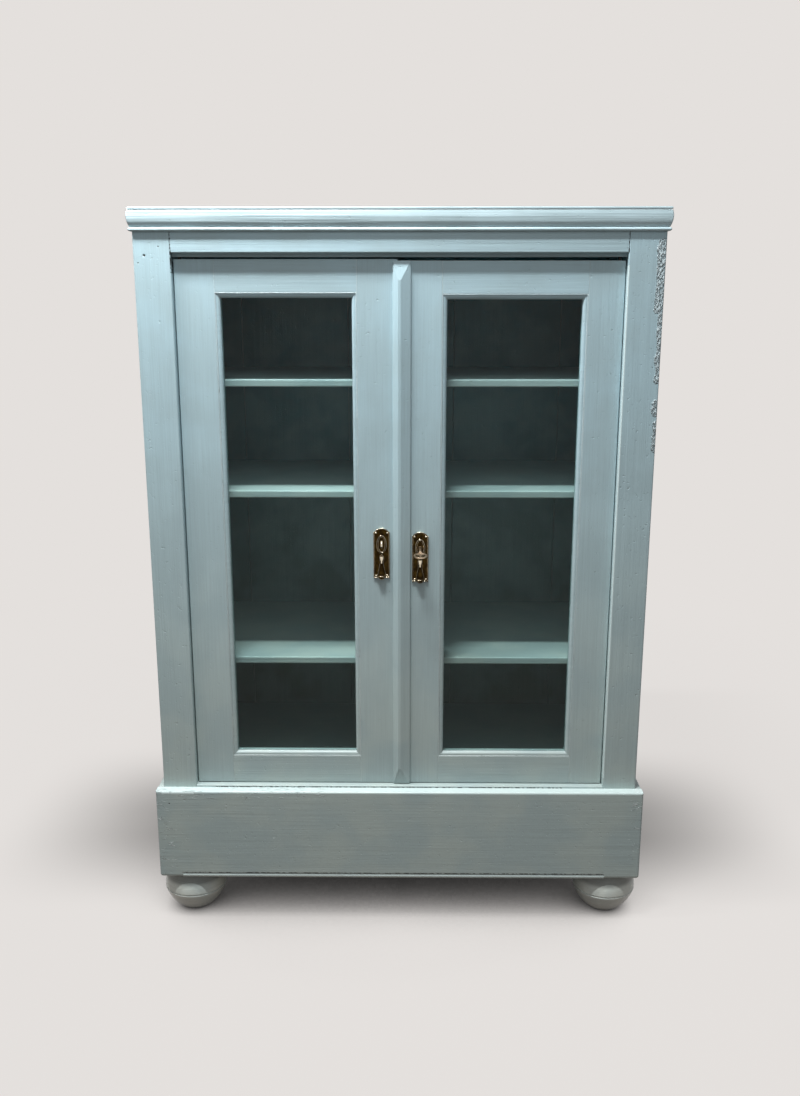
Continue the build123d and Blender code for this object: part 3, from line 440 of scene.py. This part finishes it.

# %% [markdown]
# ## Marks of age in the paint
#
# Some boards carry marks in known places, so each of those boards gets its own copy of the
# paint. The stiles have opened a hair's breadth from the frieze between them. Four nail holes sit
# near the top of the left stile, and one in the plinth. Old paint was scraped badly off the
# right stile's outer edge before the last coat. The plinth's front is knocked about at its two
# ends, and there is a dirty, broken line where the ledge sits on it. Some marks are painted
# light: pale strokes that are painted highlights on the right stile's inner arris, on the plinth's
# bead and along the plinth's top, and a dark line of painted shade in the quirk above the bead.
# The back boards are painted darker and bluer than the rest, as painted shade for the inside of
# the cabinet, and lighter and greyer towards the floor; their rear is bare and nailed. Dust lies
# on the top board. All the places are in millimetres.

# %% Boards with their own marks
joint_x = 387.0            # where the stiles meet the frieze
marked = {
    "left_front_stile": brushed_paint(
        "brushed_paint_left_stile", "z", 5.0,
        holes=[(-431.3, 1246.5, 1.7), (-406.8, 1261.1, 1.0), (-442.2, 1234.3, 0.9),
               (-418.0, 1242.5, 0.6)],
        cracks=[(-joint_x, 1250.0, 0.7, 32.0)]),
    "right_front_stile": brushed_paint(
        "brushed_paint_right_stile", "z", 6.0,
        cracks=[(joint_x, 1268.0, 0.6, 16.0)],
        crusts=[(446.0, 1212.0, 3.0, 54.0), (450.0, 1100.0, 1.0, 60.0), (450.0, 990.0, 3.0, 7.0),
                (452.0, 940.0, 1.0, 20.0)],
        # The pale stroke on the inner arris is a painted highlight.
        highlight_strokes=[(joint_x + 1.2, 760.0, 0.7, 470.0)]),
    "top_board": brushed_paint("brushed_paint_top", "x", 16.0, high=lit_top_blue, dusty=True),
    "frieze": brushed_paint(
        "brushed_paint_frieze", "x", 3.0,
        cracks=[(-joint_x, 1262.0, 0.7, 22.0), (joint_x, 1268.0, 0.6, 16.0)]),
    "plinth_front": brushed_paint(
        "brushed_paint_plinth", "x", 4.0, dents=0.25, rings_deep=0.25,
        holes=[(-437.0, 243.0, 1.0)],
        # The dark line just above the bead is painted shade in its quirk.
        cracks=[(-11.5, 97.6, 405.0, 0.9)],
        scuffs=[(-456.0, 185.0, 8.0, 70.0), (-440.0, 160.0, 5.0, 45.0), (452.0, 190.0, 6.0, 60.0),
                (-300.0, 266.0, 160.0, 3.0)],
        # The long pale strokes on the bead and along the top are painted highlights.
        highlight_strokes=[(-12.0, 92.8, 405.0, 1.6), (-240.0, 172.0, 1.0, 0.6), (-420.0, 264.5, 30.0, 1.5),
               (0.0, 268.6, 462.0, 0.7)]),
    "floor_board": brushed_paint(
        "brushed_paint_ledge", "x", 12.0, cracks=[(-20.0, 268.7, 330.0, 0.8)]),
    # Darker and bluer than the rest as painted shade for the inside of the cabinet; greyer lower
    # down.
    "back_boards": brushed_paint(
        "brushed_paint_back_boards", "z", 7.0, high="#4f8490", low="#868f86", bare_behind=True),
}
print("boards with marks of their own:", sorted(marked))

# %% [markdown]
# ## Clear sheet glass
#
# A pane is 3 mm of clear drawn glass with the faint waves of old sheet. What makes glass read as
# glass is that it shows what is behind it and adds a weak reflection. Real glass has an IOR of
# 1.52; the value here is lower, which stands for the dust that takes the edge off an old pane's
# reflections. Lamps have to reach the shelves through it: for shadow and diffuse rays the shader
# is swapped for a transparent one, which is how most renderers treat windows.

# %% Glass
glass_colour = "#e3edec"
dusty_glass_ior = 1.22
wave_length, wave_width, wave_depth = 260.0, 70.0, 0.12      # mm


def sheet_glass():
    material, tree, out = new_material("clear_sheet_glass")
    waves = noise(tree, "z", wave_length, wave_width, 1.0, 31.0)
    normal = relief(tree, waves, wave_depth, add(tree, "NewGeometry").outputs["Normal"])
    glass = add(tree, "BsdfPrincipled", {
        "Base Color": linear(glass_colour), "Roughness": 0.0, "IOR": dusty_glass_ior,
        "Transmission Weight": 1.0, "Normal": normal})
    through = add(tree, "BsdfTransparent", {"Color": linear(glass_colour)})
    path = add(tree, "LightPath")
    shadow, diffuse = path.outputs["Is Shadow Ray"], path.outputs["Is Diffuse Ray"]
    lamp_side = maths(tree, "MAXIMUM", shadow, diffuse)
    swap = add(tree, "MixShader", {0: lamp_side, 1: glass.outputs[0], 2: through.outputs[0]})
    tree.links.new(swap.outputs[0], out.inputs["Surface"])
    return material


glass = sheet_glass()
print("glass:", glass.name)

# %% [markdown]
# ## Old pressed brass
#
# The key plates are pressed brass that has gone nearly black, with dirt and old lacquer in the
# hollows and bright metal where fingers and cloths rub, on the rims and the oval. Dark and bright
# are both metal, so the metallic value stays at 1, and colour and roughness tell the two apart.
# The edge measure above says where the metal is bright: partly rubbed, and partly a painted
# highlight along the rims. Other bright patches are painted highlights only: the crown of each
# pull, the blank boss on the left plate, and the arch at each plate's top where it faces the
# lamp above. The pins are bright all over, rubbed and with a painted highlight on their heads.

# %% Old brass
brass_dark = "#241a0d"
brass_brown = "#433416"
brass_bright = "#efe5cd"
leans_back = (0.0, -0.62, 0.78)          # the way a surface faces that catches the lamp above
# Painted highlights: how far below the plate's top, half width and half height, in mm.
pull_crown_highlight = ((54.0, 3.0, 1.4), (57.0, 1.8, 1.8), (61.5, 0.6, 2.8))
blank_boss_highlight = (28.8, 1.2, 4.8)
arched_top = 8.0                         # the half height of the arch's painted highlight at the plate's top


def old_brass(name, rubbed, seed, highlight_patches=(), arch=None):
    """Brass that is bright all over by the amount rubbed, and fully so in highlight_patches.

    arch is a patch too, bright where it leans back to face the lamp; both are painted highlights.
    """
    material, tree, out = new_material(name)
    dirty = noise(tree, "all", 7.0, 7.0, 4.0, seed)
    fine = noise(tree, "all", 0.9, 0.9, 3.0, seed + 2)
    normal, edge = edges(tree, 1.2)
    bright = [maths(tree, "MULTIPLY", edge, remap(tree, dirty, 0.30, 0.55, 0.55, 1.0))]
    bright += [patch(tree, *place, 0.8) for place in highlight_patches]
    if arch:
        outward = add(tree, "TexCoord").outputs["Normal"]
        lean = add(tree, "VectorMath", {0: outward, 1: leans_back}, operation="DOT_PRODUCT")
        lean = remap(tree, lean.outputs["Value"], 0.66, 0.80)
        bright.append(maths(tree, "MULTIPLY", lean, patch(tree, *arch, 1.0)))
    bright = remap(tree, strongest(tree, bright), 0.0, 1.0, rubbed, 1.0)
    brown = remap(tree, dirty, 0.35, 0.65)
    colour = blend_colour(tree, brown, linear(brass_dark), linear(brass_brown))
    colour = blend_colour(tree, bright, colour, linear(brass_bright))
    shader = add(tree, "BsdfPrincipled", {
        "Base Color": colour, "Metallic": 1.0,
        "Roughness": remap(tree, bright, 0.0, 1.0, 0.46, 0.26),
        "Normal": relief(tree, fine, 0.04, relief(tree, dirty, 0.15, normal))})
    tree.links.new(shader.outputs[0], out.inputs["Surface"])
    return material


def plate_brass_for(side):
    """Old brass with the painted highlights of one plate, found from its measured box."""
    low, high = (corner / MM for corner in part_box(f"{side}_key_plate"))
    middle = (low.x + high.x) / 2
    # These places are painted highlights.
    rubbed = pull_crown_highlight + ((blank_boss_highlight,) if side == "left" else ())
    spots = [(middle, high.z - down, half_x, half_z) for down, half_x, half_z in rubbed]
    arch = (middle, high.z, high.x - low.x, arched_top)
    return old_brass(f"old_pressed_brass_{side}", 0.0, 41.0, spots, arch)


plate_brass = {side: plate_brass_for(side) for side in ("left", "right")}
# The pins: rubbed brass, bright all over, with a painted highlight on their small heads.
rubbed_and_highlit_brass = old_brass("rubbed_and_highlit_brass", 0.75, 44.0)
print("brass:", sorted(plate_brass), rubbed_and_highlit_brass.name)

# %% [markdown]
# ## Old iron and steel
#
# The lock, its bolt and the bolts inside the doors are forged and filed iron: dark with oil and
# age, dull grey where parts slide on each other, freckled with a little rust. The pivots are
# black with oil, and darker still as painted shade for the narrow gap where they sit. The key is
# the one piece that a hand polishes every day, and its steel has turned a warm beige.

# %% Old iron
iron_edge = "#a8a59f"
red_rust = "#5a3a24"


def old_iron(name, body_hex, worn_hex, seed, rough=0.5, rusty=0.7):
    material, tree, out = new_material(name)
    patches = noise(tree, "all", 9.0, 9.0, 4.0, seed)
    freckles = noise(tree, "all", 1.3, 1.3, 3.0, seed + 2)
    normal, edge = edges(tree, 0.6)
    worn = remap(tree, patches, 0.40, 0.62)
    colour = blend_colour(tree, worn, linear(body_hex), linear(worn_hex))
    colour = blend_colour(tree, maths(tree, "MULTIPLY", edge, 0.5), colour, linear(iron_edge))
    rust = remap(tree, freckles, 0.66, 0.72, 0.0, rusty)
    colour = blend_colour(tree, rust, colour, linear(red_rust))
    shader = add(tree, "BsdfPrincipled", {
        "Base Color": colour, "Metallic": remap(tree, rust, 0.0, 1.0, 1.0, 0.2),
        "Roughness": remap(tree, patches, 0.3, 0.7, rough + 0.08, rough - 0.08),
        "Normal": relief(tree, freckles, 0.06, relief(tree, patches, 0.15, normal))})
    tree.links.new(shader.outputs[0], out.inputs["Surface"])
    return material


black_iron = old_iron("forged_black_iron", "#3b3835", "#55524e", 51.0)
# The pivots' iron is darker still: painted shade for the narrow gap where they sit.
oiled_and_shaded_iron = old_iron("oiled_black_iron_painted_shade", "#1d1b1a", "#2c2a28", 51.0, 0.55, 0.1)
bright_steel = old_iron("worn_bright_steel", "#8d8880", "#b0aaa0", 54.0, 0.35)
key_steel = old_iron("handled_key_steel", "#b9a48a", "#d3c0a8", 57.0, 0.36, 0.35)
print("iron:", black_iron.name, oiled_and_shaded_iron.name, bright_steel.name, key_steel.name)

# %% [markdown]
# ## Which piece gets which finish
#
# Brush strokes follow the length of each board, so the finish of a piece depends on which way
# its grain runs: upright in the stiles, sides and back, across in the rails, shelves, frieze
# and plinth, front to back in the mouldings of the two sides.

# %% Finishes of the pieces
doors = ("left", "right")
grain_runs = {
    "x": ["top_board", "upper_rail"]
         + [f"{side}_{rail}" for side in doors for rail in ("top_rail", "bottom_rail")],
    "y": ["plinth_left", "plinth_right", "left_shelf_battens", "right_shelf_battens"],
    "shelf": ["lower_shelf", "middle_shelf", "upper_shelf"],
    "moulding_x": ["cornice_front"],
    "moulding_y": ["cornice_left", "cornice_right"],
    "z": ["meeting_strip", "left_side", "right_side"]
         + [f"{side}_{stile}" for side in doors for stile in ("hinge_stile", "closing_stile")],
    "turned": [f"{row}_{side}_foot" for row in ("front", "back") for side in doors],
    "all": [f"{side}_{bead}" for side in doors for bead in ("glazing_beads", "back_beads")],
}
finish = {node: paints[grain] for grain, members in grain_runs.items() for node in members} | marked
finish |= {"foot_blocks": bare["z"], "plinth_back": bare["x"], "key": key_steel}
finish |= {f"{side}_glass": glass for side in doors}
finish |= {f"{side}_key_plate": plate_brass[side] for side in doors}
finish |= {f"{side}_plate_pins": rubbed_and_highlit_brass for side in doors}
for metal, members in (
        (black_iron, ("lock_case", "lock_keep", "upper_bolt_plate", "lower_bolt_plate")),
        (oiled_and_shaded_iron, ("left_pivots", "right_pivots", "upper_sockets", "lower_sockets")),
        (bright_steel, ("lock_bolt", "upper_bolt", "lower_bolt"))):
    finish |= {node: metal for node in members}

for name, node in nodes.items():
    node.data.materials.clear()
    node.data.materials.append(finish[name])
print("finished:", len(finish), "pieces; without a finish:", sorted(set(nodes) - set(finish)))

# %% [markdown]
# ## Slotted screws
#
# The lock, the bolts and the pivot plates are held by hand-driven screws with slotted heads, and
# no two slots stand at the same angle. A head is two low half-domes with the slot between them,
# 5 mm across, each with a short upright side, a chamfer and a flat top. The screws that travel
# together are one object, which rides on the body that they are driven into.

# %% One screw head in mesh code
screw_across = 5.0             # mm, as are the sizes below
screw_slot = 0.8
screw_profile = ((-0.2, 0.0), (0.15, 0.0), (0.35, 0.45))     # height, and how far the edge draws in
half_dome_steps = 9
first_slot, next_slot = 0.7, 1.9                             # angles of the slots, in radians


def screw_head(shape, turned):
    """Adds one slotted head, standing on the plane z = 0 at the origin, in mm, to a mesh."""
    radius = screw_across / 2
    start = math.asin(screw_slot / 2 / radius)
    sweep = (math.pi - 2 * start) / (half_dome_steps - 1)
    angles = [start + sweep * step for step in range(half_dome_steps)]
    made = []
    for side in (1, -1):
        rings = []
        for height, shrink in screw_profile:
            ring = []
            for angle in angles:
                x, y = (radius - shrink) * math.cos(angle), (radius - shrink) * math.sin(angle)
                y = max(y, screw_slot / 2 + shrink * 0.3)
                ring.append(shape.verts.new((x, side * y, height)))
            rings.append(ring)
            made += ring
        for low, high in zip(rings, rings[1:]):
            for i in range(half_dome_steps):
                j = (i + 1) % half_dome_steps
                shape.faces.new((low[i], low[j], high[j], high[i]))
        shape.faces.new(rings[-1])
        shape.faces.new(list(reversed(rings[0])))
    bmesh.ops.rotate(shape, verts=made, cent=(0, 0, 0), matrix=Matrix.Rotation(turned, 3, "Z"))
    return made


def screws(name, body, places):
    """One object with a screw at each (point, outward direction) of places, in metres."""
    shape = bmesh.new()
    for number, (point, outward) in enumerate(places):
        made = screw_head(shape, first_slot + next_slot * number)
        stand = Vector(outward).to_track_quat("Z", "Y").to_matrix().to_4x4()
        place = Matrix.Translation(point) @ stand @ Matrix.Scale(MM, 4)
        bmesh.ops.transform(shape, matrix=place, verts=made)
    bmesh.ops.recalc_face_normals(shape, faces=shape.faces)
    mesh = bpy.data.meshes.new(name)
    shape.to_mesh(mesh)
    shape.free()
    piece = bpy.data.objects.new(name, mesh)
    bpy.context.scene.collection.objects.link(piece)
    piece.data.materials.append(black_iron)
    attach(piece, body)
    return piece


print("a head is", screw_across, "mm across with a", screw_slot, "mm slot")

# %% [markdown]
# ## Where the screws go
#
# Four in the corners of the lock, four in each bolt plate beside the sliding bar, and two in each
# pivot plate and socket plate. The places come from the measured pieces, so they stay right if
# those are resized.

# %% Screws in their places
lock_inset = 6.0                         # mm from the lock's edges, as are the sizes below
bolt_inset = (3.6, 18.0)                 # across and along a bolt's plate
bolt_plate_thick = 2.0
pivot_screw_depth = 6.3                  # behind the door's face
pivot_screw_places = (24.0, 36.0)        # from the door's outer edge


def corners(low, high, inset_x, inset_z):
    """The x and z of four points inside a rectangle, in metres; the insets are in mm."""
    return [(x, z) for x in (low.x + inset_x * MM, high.x - inset_x * MM)
            for z in (low.z + inset_z * MM, high.z - inset_z * MM)]


low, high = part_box("lock_case")
lock_screws = [((x, high.y, z), (0, 1, 0)) for x, z in corners(low, high, lock_inset, lock_inset)]

bolt_screws = []
for node in ("upper_bolt_plate", "lower_bolt_plate"):
    low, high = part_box(node)
    bolt_screws += [((x, low.y + bolt_plate_thick * MM, z), (0, 1, 0))
                    for x, z in corners(low, high, *bolt_inset)]

pivot_screws = {"left_door": [], "right_door": [], "cabinet": []}
rail_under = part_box("upper_sockets")[0].z
floor_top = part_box("lower_sockets")[1].z
for side in ("left", "right"):
    door_low, door_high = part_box(f"{side}_hinge_stile")
    middle = door_low.y + pivot_screw_depth * MM
    for along in pivot_screw_places:
        x = (door_low.x + along * MM) if side == "left" else (door_high.x - along * MM)
        pivot_screws[f"{side}_door"] += [((x, middle, door_high.z), (0, 0, 1)),
                                         ((x, middle, door_low.z), (0, 0, -1))]
        pivot_screws["cabinet"] += [((x, middle, rail_under), (0, 0, -1)),
                                    ((x, middle, floor_top), (0, 0, 1))]

screws("lock_screws", "right_door", lock_screws + pivot_screws["right_door"])
screws("bolt_screws", "left_door", bolt_screws + pivot_screws["left_door"])
screws("socket_screws", "cabinet", pivot_screws["cabinet"])
print("screws:", len(lock_screws) + len(bolt_screws) + sum(map(len, pivot_screws.values())))

# %% [markdown]
# ## A plain studio
#
# The floor is one big pale sheet that fades, away from the cabinet, into an even glow of the same
# colour as the background, so that the two meet without a line. Near the cabinet a large room's
# soft light is hard to get from three lamps. So most of the brightness there is a glow too, and
# two things dim it: the Ambient Occlusion node, which finds how much of the room each point of
# the floor can see, and a soft shade on the cabinet's two sides. The rest is a real matt surface
# that takes the lamps' own shadows. Rays that carry light to the cabinet see a darker floor,
# because a white one would light the cabinet from below.

# %% Sizes and brightness of the studio
pale = "#e4e0dd"
floor_half = 30.0
shadow_reach = (1.2, 2.4)      # metres from the cabinet over which its shadow fades out
under_reach = 0.5              # metres over which the floor counts as sheltered
towards_room = (0.0, -0.6, 0.8)
open_room = 0.76               # the share of the room in view at which the floor is fully lit
shade_curve = 1.2
glow_share = 0.92              # the glow's part of the near floor's brightness
side_shade = 0.62              # how much darker the floor is right beside the cabinet
side_shade_reach = 0.48        # metres
side_shade_front = (-0.20, 0.13)       # metres from the front, where the shade sets in
side_shade_back = (0.20, 0.60)         # and where it ends
floor_bounce = "#766a60"
fill_light = 0.22
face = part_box("left_front_stile")[0].y
lamps = {    # place, size and watts
    "near_tube": (Vector((-0.56, face - 0.16, 1.85)), (0.8, 0.08), 15.2),
    "ceiling_panel": (Vector((-0.30, face - 0.66, 3.2)), (0.6, 0.12), 66.0),
    "window": (Vector((0.0, face - 0.90, 1.9)), (0.7, 0.7), 2.7),
}
print("floor:", 2 * floor_half, "m wide; lamps:", sorted(lamps))

# %% Where the floor is lit, and where it is sheltered
def seen_directly(tree):
    """1 for rays that show the floor or the background itself, 0 for rays that carry light."""
    path = add(tree, "LightPath")
    seen = maths(tree, "MAXIMUM", path.outputs["Is Camera Ray"], path.outputs["Is Glossy Ray"])
    return maths(tree, "MAXIMUM", seen, path.outputs["Is Transmission Ray"])


def lamps_on_floor(tree, place):
    """How brightly a white floor shows under the hanging lamps, by inverse square and cosines."""
    total = fill_light
    for name in ("near_tube", "ceiling_panel"):
        lamp, size, watts = lamps[name]
        foot = add(tree, "VectorMath", {0: place, 1: (lamp.x, lamp.y, 0)}, operation="DISTANCE")
        ray = maths(tree, "ADD", maths(tree, "POWER", foot.outputs["Value"], 2.0), lamp.z ** 2)
        under = watts / math.pi ** 2 * lamp.z ** 2
        here = maths(tree, "DIVIDE", under, maths(tree, "POWER", ray, 2.0))
        total = maths(tree, "ADD", total, here)
    return total


def beside_cabinet(tree, place):
    """How much of the light the cabinet keeps from the floor on its two sides."""
    split = add(tree, "SeparateXYZ", {"Vector": place})
    plinth_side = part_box("plinth_front")[1].x
    away = maths(tree, "SUBTRACT", maths(tree, "ABSOLUTE", split.outputs["X"]), plinth_side)
    from_front = remap(tree, split.outputs["Y"], *side_shade_front)
    from_back = remap(tree, split.outputs["Y"], *side_shade_back, 1.0, 0.0)
    depth = maths(tree, "MULTIPLY", from_front, from_back)
    return maths(tree, "MULTIPLY", depth, remap(tree, away, 0.0, side_shade_reach, side_shade, 0.0))


print("shade beside the cabinet reaches", side_shade_reach, "m")

# %% The floor
def studio_floor():
    material, tree, out = new_material("matt_studio_floor")
    place = add(tree, "TexCoord").outputs["Object"]
    distance = add(tree, "VectorMath", {0: place}, operation="LENGTH").outputs["Value"]
    level = maths(tree, "DIVIDE", 1.0, lamps_on_floor(tree, place))
    grey = add(tree, "CombineColor", {0: level, 1: level, 2: level}).outputs["Color"]
    shadowed = add(tree, "BsdfDiffuse", {
        "Color": blend_colour(tree, 1.0, linear(pale), grey, "MULTIPLY")})
    in_view = add(tree, "AmbientOcclusion", {"Distance": under_reach, "Normal": towards_room},
                  samples=16).outputs["AO"]
    open_sky = maths(tree, "POWER", remap(tree, in_view, 0.0, open_room), shade_curve)
    clear_side = maths(tree, "SUBTRACT", 1.0, beside_cabinet(tree, place))
    level = maths(tree, "MULTIPLY", open_sky, clear_side)
    glow = add(tree, "Emission", {"Color": linear(pale), "Strength": level})
    near_floor = add(tree, "MixShader", {0: glow_share, 1: shadowed.outputs[0], 2: glow.outputs[0]})
    far_floor = add(tree, "Emission", {"Color": linear(pale), "Strength": 1.0})
    bright = add(tree, "MixShader", {0: remap(tree, distance, *shadow_reach),
                                     1: near_floor.outputs[0], 2: far_floor.outputs[0]})
    dim = add(tree, "BsdfDiffuse", {"Color": linear(floor_bounce)})
    both = add(tree, "MixShader", {0: seen_directly(tree), 1: dim.outputs[0], 2: bright.outputs[0]})
    tree.links.new(both.outputs[0], out.inputs["Surface"])
    return material


mesh = bpy.data.meshes.new("studio_floor")
floor_corners = [(x * floor_half, y * floor_half, 0)
                 for x, y in ((-1, -1), (1, -1), (1, 1), (-1, 1))]
mesh.from_pydata(floor_corners, [], [(0, 1, 2, 3)])
floor = bpy.data.objects.new("studio_floor", mesh)
bpy.context.scene.collection.objects.link(floor)
floor.data.materials.append(studio_floor())
print("floor:", floor.name, floor.data.materials[0].name)

# %% The background
world = bpy.data.worlds.new("studio")
bpy.context.scene.world = world
world.use_nodes = True
world.node_tree.nodes.clear()
fill = add(world.node_tree, "Background", {"Color": linear("#f4f8ff"), "Strength": fill_light})
backdrop = add(world.node_tree, "Background", {"Color": linear(pale), "Strength": 1.0})
either = add(world.node_tree, "MixShader", {0: seen_directly(world.node_tree), 1: fill.outputs[0],
                                            2: backdrop.outputs[0]})
add(world.node_tree, "OutputWorld", {"Surface": either.outputs[0]})
print("world:", world.name, "lights the cabinet with a strength of", fill_light)

# %% [markdown]
# ## Light
#
# Three lamps stand for the light of a room. A narrow tube hangs just in front of the cabinet's
# top and to its left: from that steep angle it rakes over the mouldings and leaves a crisp shadow
# under the cornice. A panel high above lights everything that faces up: ledges, the tops of the
# mouldings, the shelves' front edges. Both point straight down. A window further out looks at the
# cabinet's middle and fills the shadows a little, and an even pale world fills the rest.

# %% Lamps
cabinet_middle = Vector((0.0, 0.0, 0.9))
for name, (place, size, watts) in lamps.items():
    lamp = bpy.data.lights.new(name, "AREA")
    lamp.shape = "RECTANGLE"
    lamp.size, lamp.size_y = size
    lamp.energy = watts
    panel = bpy.data.objects.new(name, lamp)
    panel.location = place
    aim = cabinet_middle if name == "window" else Vector((place.x, place.y, 0.0))
    panel.rotation_euler = (aim - place).to_track_quat("-Z", "Y").to_euler()
    panel.visible_camera = False
    bpy.context.scene.collection.objects.link(panel)
    print(name, [round(c, 3) for c in place], watts, "W")

# %% [markdown]
# ## Camera
#
# A person of average height holds the camera at chest height, not quite two metres away, and
# tips it down a little. That is why the uprights lean together towards the floor.

# %% Camera
eye_height = 1.169             # metres
eye_distance = 1.7912          # in front of the stiles
eye_side = 0.0184
tip_down = 13.5                # degrees
turn_left = 0.54
focal_pixels = 1021.9
frame_height = 1096            # pixels

camera = bpy.data.cameras.new("camera")
camera.sensor_width = 36.0
camera.lens = camera.sensor_width * focal_pixels / frame_height
viewer = bpy.data.objects.new("camera", camera)
viewer.location = (eye_side, face - eye_distance, eye_height)
viewer.rotation_euler = (math.radians(90 - tip_down), 0.0, math.radians(turn_left))
bpy.context.scene.collection.objects.link(viewer)
bpy.context.scene.camera = viewer
bpy.context.scene.view_settings.view_transform = "Standard"
print("lens:", round(camera.lens, 2), "mm at", [round(c, 3) for c in viewer.location])
